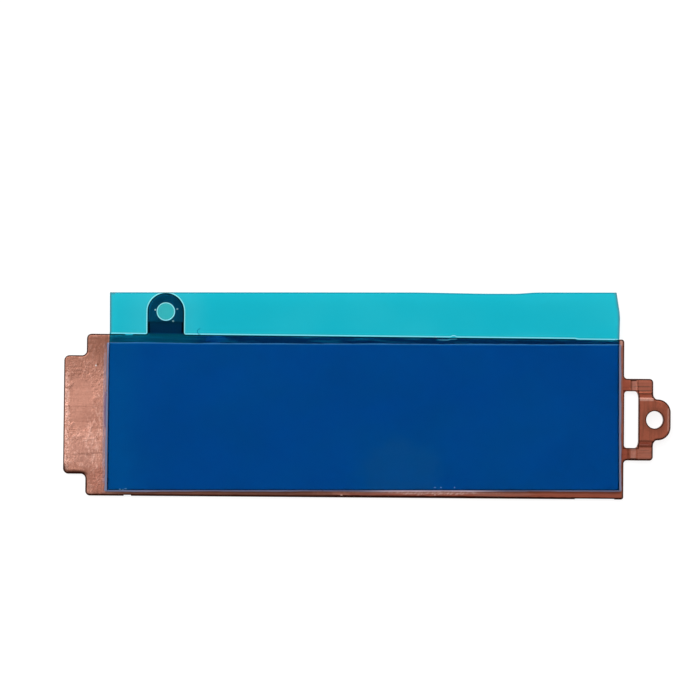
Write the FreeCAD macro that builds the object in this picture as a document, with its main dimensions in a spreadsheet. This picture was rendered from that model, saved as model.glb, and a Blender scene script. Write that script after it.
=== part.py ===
import FreeCAD, Part
import math
import os

import Sketcher

# Heat spreader for a narrow 80 mm solid-state drive: a stamped copper plate with two stepped
# screw tabs, a thermal pad laid on it and the pad's see-through release film.
# X runs along the plate, Y across it and Z up; the origin is the centre of the plate's back face.

# Driving sizes in millimetres, and the pad's turn in degrees
drivingSizes = {
    # Plate
    "plate_length": 80.0,
    "plate_width": 23.9,
    "sheet_thickness": 0.8,
    "plate_corner": 0.4,
    "edge_roll": 0.36,
    "bend_radius": 0.42,
    "bend_landing": 0.05,
    # Narrow end of the plate
    "nose_reach": 3.3,
    "nose_width": 17.5,
    "nose_corner": 0.8,
    "shoulder_fillet": 0.7,
    "shoulder_corner": 0.7,
    # Screw ear on the upper long edge
    "ear_inset": 11.6,
    "ear_width": 5.4,
    "ear_reach": 6.08,
    "ear_root": 0.35,
    "ear_slope": 1.6,
    "ear_rise": 1.2,
    "ear_hole_reach": 3.35,
    "ear_hole_diameter": 2.75,
    # Arms and slot of the end bracket
    "arm_span": 12.2,
    "arm_reach": 4.3,
    "arm_corner": 0.55,
    "arm_root": 0.5,
    "arm_slope": 0.89,
    "arm_rise": 0.6,
    "slot_length": 8.46,
    "slot_width": 1.99,
    "slot_corner": 0.45,
    # Screw tab of the end bracket
    "tab_width": 6.1,
    "tab_reach": 6.81,
    "tab_corner": 1.95,
    "tab_neck": 0.5,
    "tab_slope": 0.7,
    "tab_rise": 0.8,
    "tab_hole_reach": 4.39,
    "tab_hole_diameter": 2.6,
    # Shear marks on both long edges
    "nick_inset": 6.2,
    "nick_length": 1.1,
    "nick_depth": 0.15,
    "relief_inset": 1.3,
    "relief_length": 6.0,
    "relief_depth": 0.1,
    # Thermal pad
    "pad_length": 76.65,
    "pad_width": 22.0,
    "pad_thickness": 1.0,
    "pad_shift": 1.12,
    "pad_turn": 0.45,
    # Release film
    "film_thickness": 0.1,
    "film_near_margin": 0.25,
    "film_right_margin": 0.4,
    "film_left_margin": 0.37,
    "film_left_skew": 0.38,
    "film_tail": 7.5,
}

doc = FreeCAD.newDocument("drive_heat_spreader")
sheet = doc.addObject("Spreadsheet::Sheet", "sizes")
for row, (name, value) in enumerate(drivingSizes.items(), start=1):
    sheet.set(f"A{row}", name)
    sheet.set(f"B{row}", str(value))
    sheet.setAlias(f"B{row}", name)
doc.recompute()


def addBody(name):
    body = doc.addObject("PartDesign::Body", name)
    body.Label = name
    return body


def addSketch(body, name, role, offset="0"):
    # A sketch on one of the body's origin planes, moved along the plane's normal
    sketch = body.newObject("Sketcher::SketchObject", name)
    plane = next(item for item in body.Origin.OriginFeatures if item.Role == role)
    sketch.AttachmentSupport = [(plane, "")]
    sketch.MapMode = "FlatFace"
    sketch.setExpression("AttachmentOffset.Base.z", offset)
    return sketch


def bind(sketch, name, constraint, expression):
    index = sketch.addConstraint(constraint)
    sketch.renameConstraint(index, name)
    sketch.setExpression(f"Constraints.{name}", expression)


def drawOutline(sketch, corners):
    # A closed outline of straight sides. Each named corner has two bound distances from the
    # origin, so the sides can start from any ring of points.
    first = sketch.GeometryCount
    count = len(corners)
    ring = []
    for number in range(count):
        angle = 2 * math.pi * number / count
        ring.append(FreeCAD.Vector(math.cos(angle), math.sin(angle), 0))
    for number in range(count):
        sketch.addGeometry(Part.LineSegment(ring[number], ring[(number + 1) % count]))
    for number, (name, (across, along)) in enumerate(corners.items()):
        side = first + number
        following = first + (number + 1) % count
        sketch.addConstraint(Sketcher.Constraint("Coincident", side, 2, following, 1))
        bind(sketch, f"{name}_x", Sketcher.Constraint("DistanceX", -1, 1, side, 1, 1.0), across)
        bind(sketch, f"{name}_y", Sketcher.Constraint("DistanceY", -1, 1, side, 1, 1.0), along)


def drawCircle(sketch, name, across, along, diameter):
    unit = Part.Circle(FreeCAD.Vector(1, 1, 0), FreeCAD.Vector(0, 0, 1), 1)
    circle = sketch.addGeometry(unit)
    bind(sketch, f"{name}_x", Sketcher.Constraint("DistanceX", -1, 1, circle, 3, 1.0), across)
    bind(sketch, f"{name}_y", Sketcher.Constraint("DistanceY", -1, 1, circle, 3, 1.0), along)
    bind(sketch, f"{name}_diameter", Sketcher.Constraint("Diameter", circle, 1.0), diameter)


def addPad(body, sketch, name, length, sideType="One side"):
    pad = body.newObject("PartDesign::Pad", name)
    pad.Profile = sketch
    pad.SideType = sideType
    pad.setExpression("Length", length)
    doc.recompute()
    return pad


def addPocket(body, sketch, name):
    # Cuts right through the body, both ways from the sketch
    before = body.Shape.Volume
    pocket = body.newObject("PartDesign::Pocket", name)
    pocket.Profile = sketch
    pocket.Type = "ThroughAll"
    pocket.SideType = "Symmetric"
    doc.recompute()
    if body.Shape.Volume > before - 1e-6:
        raise RuntimeError(f"{name} cuts nothing")
    return pocket


def addFillet(body, name, edges, radius):
    if not edges:
        raise RuntimeError(f"{name} has no edge to round")
    base = body.Tip
    fillet = body.newObject("PartDesign::Fillet", name)
    fillet.Base = (base, edges)
    fillet.setExpression("Radius", radius)
    doc.recompute()
    return fillet


def cornerEdges(body, sketch, axis, names):
    # Edges of the body that run along an axis (0, 1 or 2) through named corners of a sketch
    across = [number for number in range(3) if number != axis]
    spots = []
    for name in names:
        spots.append((sketch.getDatum(f"{name}_x").Value, sketch.getDatum(f"{name}_y").Value))
    edges = []
    for number, edge in enumerate(body.Tip.Shape.Edges, start=1):
        start = edge.Vertexes[0].Point
        end = edge.Vertexes[-1].Point
        if abs(end[axis] - start[axis]) < edge.Length - 1e-6:
            continue
        for spot in spots:
            if abs(start[across[0]] - spot[0]) + abs(start[across[1]] - spot[1]) < 1e-4:
                edges.append(f"Edge{number}")
    return edges


def longestTopEdge(shape):
    # The longest edge of the sheet's upper face
    height = float(sheet.get("sheet_thickness"))
    lengths = {}
    for number, edge in enumerate(shape.Edges, start=1):
        if abs(edge.CenterOfMass.z - height) < 1e-6:
            lengths[f"Edge{number}"] = edge.Length
    return max(lengths, key=lengths.get)


def setback(rise, slope):
    # Distance from a bend's sharp line to the edge beside it: half its rounding and a flat landing
    return f"sizes.bend_landing + sizes.bend_radius * tan(atan(sizes.{rise} / sizes.{slope}) / 2)"


# Places that several sketches share
halfLength = "sizes.plate_length / 2"
halfWidth = "sizes.plate_width / 2"
noseEnd = f"-({halfLength}) - sizes.nose_reach"
noseSide = "sizes.nose_width / 2"
earPlace = f"-({halfLength}) + sizes.ear_inset"
earLeft = f"{earPlace} - sizes.ear_width / 2"
earRight = f"{earPlace} + sizes.ear_width / 2"
earRoundPlace = f"{halfWidth} + sizes.ear_reach - sizes.ear_width / 2"
earFoot = f"{halfWidth} + {setback('ear_rise', 'ear_slope')}"
earHead = f"{earFoot} + sizes.ear_slope"
earEnd = f"{halfWidth} + sizes.ear_reach"
slotEnd = f"{halfLength} + sizes.slot_width"
slotSide = "sizes.slot_length / 2"
armHead = f"{slotEnd} - ({setback('arm_rise', 'arm_slope')})"
armFoot = f"{armHead} - sizes.arm_slope"
armEnd = f"{halfLength} + sizes.arm_reach"
armSide = "sizes.arm_span / 2"
tabSide = "sizes.tab_width / 2"
tabHead = f"{tabSide} + {setback('tab_rise', 'tab_slope')}"
tabFoot = f"{tabHead} + sizes.tab_slope"
tabEnd = f"{halfLength} + sizes.tab_reach"
tabLevel = "sizes.arm_rise + sizes.tab_rise"
sheetTop = "sizes.sheet_thickness"


def below(place):
    return f"-({place})"


def buildBlank():
    # The plate's flat outline with its ear, bracket, slot and holes, as an upright prism taller
    # than the formed sheet
    body = addBody("blank")
    height = f"{sheetTop} + {tabLevel} + sizes.ear_rise"
    corners = {
        "nose_lower": (noseEnd, below(noseSide)),
        "step_lower": (below(halfLength), below(noseSide)),
        "shoulder_lower": (below(halfLength), below(halfWidth)),
        "plate_lower": (halfLength, below(halfWidth)),
        "root_lower": (halfLength, below(armSide)),
        "arm_lower": (armEnd, below(armSide)),
        "neck_lower": (armEnd, below(tabSide)),
        "tab_lower": (tabEnd, below(tabSide)),
        "tab_upper": (tabEnd, tabSide),
        "neck_upper": (armEnd, tabSide),
        "arm_upper": (armEnd, armSide),
        "root_upper": (halfLength, armSide),
        "plate_upper": (halfLength, halfWidth),
        "ear_root_right": (earRight, halfWidth),
        "ear_right": (earRight, earRoundPlace),
        "ear_left": (earLeft, earRoundPlace),
        "ear_root_left": (earLeft, halfWidth),
        "shoulder_upper": (below(halfLength), halfWidth),
        "step_upper": (below(halfLength), noseSide),
        "nose_upper": (noseEnd, noseSide),
    }
    outline = addSketch(body, "blank_outline", "XY_Plane")
    drawOutline(outline, corners)
    addPad(body, outline, "blank_prism", height)

    earRound = addSketch(body, "ear_round", "XY_Plane")
    drawCircle(earRound, "round", earPlace, earRoundPlace, "sizes.ear_width")
    addPad(body, earRound, "ear_round_end", height)

    roundings = {
        "nose_corner": ("nose_lower", "nose_upper"),
        "shoulder_fillet": ("step_lower", "step_upper"),
        "shoulder_corner": ("shoulder_lower", "shoulder_upper"),
        "plate_corner": ("plate_lower", "plate_upper"),
        "arm_root": ("root_lower", "root_upper"),
        "arm_corner": ("arm_lower", "arm_upper"),
        "tab_neck": ("neck_lower", "neck_upper"),
        "tab_corner": ("tab_lower", "tab_upper"),
        "ear_root": ("ear_root_left", "ear_root_right"),
    }
    for radius, names in roundings.items():
        edges = cornerEdges(body, outline, 2, names)
        addFillet(body, f"{radius}_rounding", edges, f"sizes.{radius}")

    slot = addSketch(body, "slot_outline", "XY_Plane")
    slotCorners = {
        "inner_lower": (halfLength, below(slotSide)),
        "outer_lower": (slotEnd, below(slotSide)),
        "outer_upper": (slotEnd, slotSide),
        "inner_upper": (halfLength, slotSide),
    }
    drawOutline(slot, slotCorners)
    addPocket(body, slot, "slot")
    addFillet(body, "slot_rounding", cornerEdges(body, slot, 2, slotCorners), "sizes.slot_corner")

    holes = addSketch(body, "screw_hole_circles", "XY_Plane")
    tabHolePlace = f"{halfLength} + sizes.tab_hole_reach"
    earHolePlace = f"{halfWidth} + sizes.ear_hole_reach"
    drawCircle(holes, "tab_hole", tabHolePlace, "0", "sizes.tab_hole_diameter")
    drawCircle(holes, "ear_hole", earPlace, earHolePlace, "sizes.ear_hole_diameter")
    addPocket(body, holes, "screw_holes")
    return body


def addStep(body, name, role, offset, places, rise, width):
    # A strip of sheet, seen from its side, that steps up between its foot and its head. It is
    # pressed, so the slope is thinner than the sheet and its upright thickness stays the same.
    start, foot, head, end = places
    raised = f"{sheetTop} + {rise}"
    corners = {
        "low_start": (start, "0"),
        "low_foot": (foot, "0"),
        "low_head": (head, rise),
        "low_end": (end, rise),
        "high_end": (end, raised),
        "high_head": (head, raised),
        "high_foot": (foot, sheetTop),
        "high_start": (start, sheetTop),
    }
    section = addSketch(body, f"{name}_section", role, offset)
    drawOutline(section, corners)
    addPad(body, section, f"{name}_strip", width, "Symmetric")
    axis = 0 if role == "YZ_Plane" else 1
    bends = cornerEdges(body, section, axis, ("low_foot", "low_head", "high_head", "high_foot"))
    addFillet(body, f"{name}_bends", bends, "sizes.bend_radius")


def buildTabForm():
    # The bracket's outer strip seen from its end: arms at both sides, and the tab raised between
    body = addBody("tab_form")
    armTop = f"{sheetTop} + sizes.arm_rise"
    tabTop = f"{sheetTop} + {tabLevel}"
    corners = {
        "low_arm_left": (below(armSide), "sizes.arm_rise"),
        "low_foot_left": (below(tabFoot), "sizes.arm_rise"),
        "low_head_left": (below(tabHead), tabLevel),
        "low_head_right": (tabHead, tabLevel),
        "low_foot_right": (tabFoot, "sizes.arm_rise"),
        "low_arm_right": (armSide, "sizes.arm_rise"),
        "high_arm_right": (armSide, armTop),
        "high_foot_right": (tabFoot, armTop),
        "high_head_right": (tabHead, tabTop),
        "high_head_left": (below(tabHead), tabTop),
        "high_foot_left": (below(tabFoot), armTop),
        "high_arm_left": (below(armSide), armTop),
    }
    section = addSketch(body, "tab_section", "YZ_Plane", slotEnd)
    drawOutline(section, corners)
    addPad(body, section, "tab_strip", "sizes.tab_reach - sizes.slot_width")
    bends = [name for name in corners if "foot" in name or "head" in name]
    addFillet(body, "tab_bends", cornerEdges(body, section, 0, bends), "sizes.bend_radius")
    return body


def addArmGap(body):
    # Parts the arms, all but the slot's rounded corners
    gapSide = f"{slotSide} - sizes.slot_corner"
    sketch = addSketch(body, "arm_gap_outline", "XY_Plane")
    corners = {
        "inner_lower": (halfLength, below(gapSide)),
        "outer_lower": (slotEnd, below(gapSide)),
        "outer_upper": (slotEnd, gapSide),
        "inner_upper": (halfLength, gapSide),
    }
    drawOutline(sketch, corners)
    addPocket(body, sketch, "arm_gap")


def combine(body, name, kind, other):
    joined = body.newObject("PartDesign::Boolean", name)
    joined.setObjects([other])
    joined.Type = kind
    doc.recompute()
    return joined


def addShearMarks(body):
    # A nick and a long shallow relief that the die leaves on each long edge
    nickMiddle = f"-({halfLength}) + sizes.nick_inset"
    reliefEnd = f"{halfLength} - sizes.relief_inset"
    marks = {
        "nick": (
            f"{nickMiddle} - sizes.nick_length / 2",
            f"{nickMiddle} + sizes.nick_length / 2",
            "sizes.nick_depth",
        ),
        "relief": (f"{reliefEnd} - sizes.relief_length", reliefEnd, "sizes.relief_depth"),
    }
    sketch = addSketch(body, "shear_mark_outlines", "XY_Plane")
    for name, (left, right, depth) in marks.items():
        bottom = f"{halfWidth} - {depth}"
        top = f"{halfWidth} + {depth}"
        corners = {
            f"{name}_left_bottom": (left, bottom),
            f"{name}_right_bottom": (right, bottom),
            f"{name}_right_top": (right, top),
            f"{name}_left_top": (left, top),
        }
        drawOutline(sketch, corners)
    pocket = addPocket(body, sketch, "shear_marks")
    mirrored = body.newObject("PartDesign::Mirrored", "shear_marks_both_edges")
    mirrored.Originals = [pocket]
    plane = next(item for item in body.Origin.OriginFeatures if item.Role == "XZ_Plane")
    mirrored.MirrorPlane = (plane, [""])
    body.Tip = mirrored
    doc.recompute()


def buildSpreader():
    # The formed sheet, cut to the blank's outline, with the upper rim rolled over by the die
    blank = buildBlank()
    body = addBody("heat_spreader")
    slab = addSketch(body, "slab_outline", "XY_Plane")
    slabCorners = {
        "left_lower": (noseEnd, below(halfWidth)),
        "right_lower": (halfLength, below(halfWidth)),
        "right_upper": (halfLength, halfWidth),
        "left_upper": (noseEnd, halfWidth),
    }
    drawOutline(slab, slabCorners)
    addPad(body, slab, "slab", sheetTop)
    earPlaces = (halfWidth, earFoot, earHead, earEnd)
    earStrip = "sizes.ear_width + 2 * sizes.ear_root"
    addStep(body, "ear", "YZ_Plane", earPlace, earPlaces, "sizes.ear_rise", earStrip)
    armPlaces = (halfLength, armFoot, armHead, slotEnd)
    armStrip = "sizes.arm_span + 2 * sizes.arm_root"
    addStep(body, "arm", "XZ_Plane", "0", armPlaces, "sizes.arm_rise", armStrip)
    addArmGap(body)
    combine(body, "join_tab", "Fuse", buildTabForm())
    trim = combine(body, "trim_to_blank", "Common", blank)
    # The outer rim is one smooth chain, so rounding its longest edge rounds all of it. It stays
    # smaller than the bends that it crosses.
    rimRadius = "min(sizes.edge_roll; 0.9 * sizes.bend_radius)"
    addFillet(body, "rolled_rim", [longestTopEdge(trim.Shape)], rimRadius)
    addShearMarks(body)
    return body


def placeOnPlate(body, height):
    # The pad and its film share one hand-laid place, turned a little on the plate
    body.Placement = FreeCAD.Placement(FreeCAD.Vector(), FreeCAD.Rotation(FreeCAD.Vector(0, 0, 1), 0))
    body.setExpression("Placement.Base.x", "sizes.pad_shift")
    body.setExpression("Placement.Base.z", height)
    body.setExpression("Placement.Rotation.Angle", "sizes.pad_turn")
    doc.recompute()


def buildPad():
    body = addBody("thermal_pad")
    right = "sizes.pad_length / 2"
    upper = "sizes.pad_width / 2"
    outline = addSketch(body, "pad_outline", "XY_Plane")
    corners = {
        "left_lower": (below(right), below(upper)),
        "right_lower": (right, below(upper)),
        "right_upper": (right, upper),
        "left_upper": (below(right), upper),
    }
    drawOutline(outline, corners)
    addPad(body, outline, "pad_slab", "sizes.pad_thickness")
    placeOnPlate(body, sheetTop)
    return body


def buildFilm():
    # The film lies on the pad, rises past the pad's upper edge and rests on the ear with its tail
    body = addBody("release_film")
    near = "-sizes.pad_width / 2 + sizes.film_near_margin"
    padEdge = "sizes.pad_width / 2"
    liftEnd = f"{halfWidth} + sizes.ear_slope"
    tailEnd = f"{padEdge} + sizes.film_tail"
    left = "-sizes.pad_length / 2 + sizes.film_left_margin"
    lift = "sizes.ear_rise - sizes.pad_thickness"
    liftedTop = f"{lift} + sizes.film_thickness"
    section = addSketch(body, "film_section", "YZ_Plane", left)
    corners = {
        "low_near": (near, "0"),
        "low_pad_edge": (padEdge, "0"),
        "low_lifted": (liftEnd, lift),
        "low_tail": (tailEnd, lift),
        "high_tail": (tailEnd, liftedTop),
        "high_lifted": (liftEnd, liftedTop),
        "high_pad_edge": (padEdge, "sizes.film_thickness"),
        "high_near": (near, "sizes.film_thickness"),
    }
    drawOutline(section, corners)
    length = "sizes.pad_length - sizes.film_left_margin - sizes.film_right_margin"
    addPad(body, section, "film_sheet", length)

    skewCut = addSketch(body, "left_skew_outline", "XY_Plane")
    skewCorners = {
        "near": (left, near),
        "tail_inner": (f"{left} + sizes.film_left_skew", tailEnd),
        "tail_outer": (left, tailEnd),
    }
    drawOutline(skewCut, skewCorners)
    addPocket(body, skewCut, "left_skew")
    placeOnPlate(body, f"{sheetTop} + sizes.pad_thickness")
    return body


pieces = [buildSpreader(), buildPad(), buildFilm()]
doc.recompute()

for item in doc.Objects:
    if "Invalid" in item.State or "Error" in item.State:
        raise RuntimeError(f"{item.Name} failed: {item.State}")
for piece in pieces:
    if piece.Shape.isNull() or not piece.Shape.isValid() or len(piece.Shape.Solids) != 1:
        raise RuntimeError(f"{piece.Label} is not one valid solid")

os.makedirs("parts", exist_ok=True)
for piece in pieces:
    piece.Shape.exportStep(f"parts/{piece.Label}.step")
    print(f"{piece.Label}: {piece.Shape.Volume:.2f} mm3, {piece.Shape.BoundBox}")
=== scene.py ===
import math

import bpy
import numpy as np
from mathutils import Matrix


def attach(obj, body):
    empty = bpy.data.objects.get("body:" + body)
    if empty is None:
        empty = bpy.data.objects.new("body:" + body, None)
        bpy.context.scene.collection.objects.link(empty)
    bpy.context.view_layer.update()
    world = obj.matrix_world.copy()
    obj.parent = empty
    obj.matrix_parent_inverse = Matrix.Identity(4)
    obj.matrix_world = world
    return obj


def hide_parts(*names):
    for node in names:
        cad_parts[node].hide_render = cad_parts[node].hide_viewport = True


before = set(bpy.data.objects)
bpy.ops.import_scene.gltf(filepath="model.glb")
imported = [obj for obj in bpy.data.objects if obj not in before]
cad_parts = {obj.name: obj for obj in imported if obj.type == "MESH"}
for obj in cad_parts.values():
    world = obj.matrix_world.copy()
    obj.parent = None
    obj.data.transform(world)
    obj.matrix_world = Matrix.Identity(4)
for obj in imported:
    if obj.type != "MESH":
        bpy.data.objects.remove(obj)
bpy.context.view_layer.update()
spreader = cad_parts["heat_spreader"]
mm = 0.001
print("stage: frame loaded")


# Shader helpers: each one below newMaterial and feed adds nodes to a tree and returns an output socket.
# A colour's nodes are made after those that feed them, because the renderer works through them in that
# order and then keeps fewer values at once.
def newMaterial(name):
    material = bpy.data.materials.new(name)
    material.use_nodes = True
    tree = material.node_tree
    tree.nodes.clear()
    shader = tree.nodes.new("ShaderNodeBsdfPrincipled")
    output = tree.nodes.new("ShaderNodeOutputMaterial")
    tree.links.new(shader.outputs[0], output.inputs["Surface"])
    return material, tree, shader


def feed(tree, socket, value):
    if isinstance(value, bpy.types.NodeSocket):
        tree.links.new(value, socket)
    elif value is not None:
        socket.default_value = value


def place(tree, scale=(1, 1, 1), centre=(0, 0, 0), turn=0.0):
    coords = tree.nodes.new("ShaderNodeTexCoord")
    centred = tree.nodes.new("ShaderNodeVectorMath")
    centred.operation = "SUBTRACT"
    centred.inputs[1].default_value = centre
    tree.links.new(coords.outputs["Object"], centred.inputs[0])
    vector = centred.outputs[0]
    if turn:
        mapping = tree.nodes.new("ShaderNodeMapping")
        mapping.vector_type = "POINT"
        mapping.inputs["Rotation"].default_value = (0, 0, turn)
        tree.links.new(vector, mapping.inputs["Vector"])
        vector = mapping.outputs[0]
    stretch = tree.nodes.new("ShaderNodeVectorMath")
    stretch.operation = "MULTIPLY"
    stretch.inputs[1].default_value = scale
    tree.links.new(vector, stretch.inputs[0])
    return stretch.outputs[0]


def noise(tree, scale, centre=(0, 0, 0), detail=3.0, roughness=0.55, turn=0.0):
    vector = place(tree, scale, centre, turn)
    node = tree.nodes.new("ShaderNodeTexNoise")
    node.inputs["Scale"].default_value = 1.0
    node.inputs["Detail"].default_value = detail
    node.inputs["Roughness"].default_value = roughness
    tree.links.new(vector, node.inputs["Vector"])
    return node.outputs[0]


def axis(tree, name):
    coords = tree.nodes.new("ShaderNodeTexCoord")
    parts = tree.nodes.new("ShaderNodeSeparateXYZ")
    tree.links.new(coords.outputs["Object"], parts.inputs[0])
    return parts.outputs[name]


def spread(tree, value, low, high, first=0.0, last=1.0):
    node = tree.nodes.new("ShaderNodeMapRange")
    node.interpolation_type = "SMOOTHSTEP"
    feed(tree, node.inputs["Value"], value)
    for name, number in (("From Min", low), ("From Max", high), ("To Min", first), ("To Max", last)):
        node.inputs[name].default_value = number
    return node.outputs[0]


def calc(tree, kind, first, second=None):
    node = tree.nodes.new("ShaderNodeMath")
    node.operation = kind
    feed(tree, node.inputs[0], first)
    feed(tree, node.inputs[1], second)
    return node.outputs[0]


def blend(tree, share, first, second, kind="MIX"):
    node = tree.nodes.new("ShaderNodeMix")
    node.data_type = "RGBA"
    node.blend_type = kind
    feed(tree, node.inputs[0], share)
    for socket, value in ((node.inputs[6], first), (node.inputs[7], second)):
        feed(tree, socket, value if isinstance(value, bpy.types.NodeSocket) else (*value, 1.0))
    return node.outputs[2]


def ramp(tree, value, low, high, first=0.0, last=1.0):
    # The same as spread, with its limits in millimetres.
    return spread(tree, value, low * mm, high * mm, first, last)


def times(tree, first, second):
    return calc(tree, "MULTIPLY", first, second)


def most(tree, first, second):
    return calc(tree, "MAXIMUM", first, second)


def without(tree, value):
    # One less the value.
    return calc(tree, "SUBTRACT", 1.0, value)


def either(tree, share, first, second):
    # The first number where the share is zero, the second where it is one.
    change = times(tree, share, calc(tree, "SUBTRACT", second, first))
    return calc(tree, "ADD", first, change)


def within(tree, value, middle, reach):
    # One at the middle value, falling to zero a reach away on both sides, in millimetres.
    off = calc(tree, "ABSOLUTE", calc(tree, "SUBTRACT", value, middle * mm))
    return ramp(tree, off, reach, 0.3 * reach)


def band(tree, value, low, high, soft=0.05):
    # One between two values in millimetres, zero outside them.
    up = ramp(tree, value, low - soft, low + soft)
    return times(tree, up, ramp(tree, value, high + soft, high - soft))


def box(tree, lowX, highX, lowY, highY, soft=0.05):
    # One inside a rectangle in plan given in millimetres.
    inside = band(tree, axis(tree, "X"), lowX, highX, soft)
    return times(tree, inside, band(tree, axis(tree, "Y"), lowY, highY, soft))


def vectorLength(tree, vector):
    node = tree.nodes.new("ShaderNodeVectorMath")
    node.operation = "LENGTH"
    tree.links.new(vector, node.inputs[0])
    return node.outputs["Value"]


def fromPoint(tree, centre):
    # Distance in plan from a point given in millimetres.
    return vectorLength(tree, place(tree, (1, 1, 0), (centre[0] * mm, centre[1] * mm, 0)))


def patch(tree, centre, half, ragged=0.5, grain=900.0):
    # One inside an ellipse in plan, falling to zero outside it, with its edge broken up by noise.
    # Its centre and half sizes are in millimetres.
    middle = (centre[0] * mm, centre[1] * mm, 0)
    reach = vectorLength(tree, place(tree, (1 / (half[0] * mm), 1 / (half[1] * mm), 0), middle))
    rough = noise(tree, (grain, grain, grain), detail=4.0)
    edge = times(tree, calc(tree, "SUBTRACT", rough, 0.5), ragged * 2)
    return spread(tree, calc(tree, "ADD", reach, edge), 1.15, 0.75)


def bump(tree, height, depth, strength=1.0, below=None):
    node = tree.nodes.new("ShaderNodeBump")
    node.inputs["Distance"].default_value = depth
    node.inputs["Strength"].default_value = strength
    feed(tree, node.inputs["Height"], height)
    if below is not None:
        tree.links.new(below, node.inputs["Normal"])
    return node.outputs[0]


# Mesh helper: a closed thin solid between two grids of points with the same shape.
def closedSheet(name, top, bottom, material, fromEdge=None):
    rows, columns = top.shape[:2]
    count = rows * columns
    index = np.arange(count).reshape(rows, columns)
    upper = np.stack([index[:-1, :-1], index[1:, :-1], index[1:, 1:], index[:-1, 1:]], -1).reshape(-1, 4)
    lower = upper[:, ::-1] + count
    rim = np.concatenate([index[:-1, 0], index[-1, :-1], index[:0:-1, -1], index[0, :0:-1]])
    onward = np.roll(rim, -1)
    wall = np.stack([rim, rim + count, onward + count, onward], -1)
    mesh = bpy.data.meshes.new(name)
    points = np.concatenate([top.reshape(-1, 3), bottom.reshape(-1, 3)]) * mm
    mesh.from_pydata(points.tolist(), [], np.concatenate([upper, lower, wall]).tolist())
    mesh.update()
    smooth = np.ones(len(mesh.polygons), bool)
    smooth[len(upper) + len(lower):] = False
    mesh.polygons.foreach_set("use_smooth", smooth)
    if fromEdge is not None:  # distance from the outline in metres, for the material
        values = mesh.attributes.new("fromEdge", "FLOAT", "POINT")
        values.data.foreach_set("value", np.tile(fromEdge.ravel(), 2).astype(np.float32))
    mesh.materials.append(material)
    piece = bpy.data.objects.new(name, mesh)
    bpy.context.scene.collection.objects.link(piece)
    return piece


def smoothStep(value, low, high):
    share = np.clip((value - low) / (high - low), 0, 1)
    return share * share * (3 - 2 * share)


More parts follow.
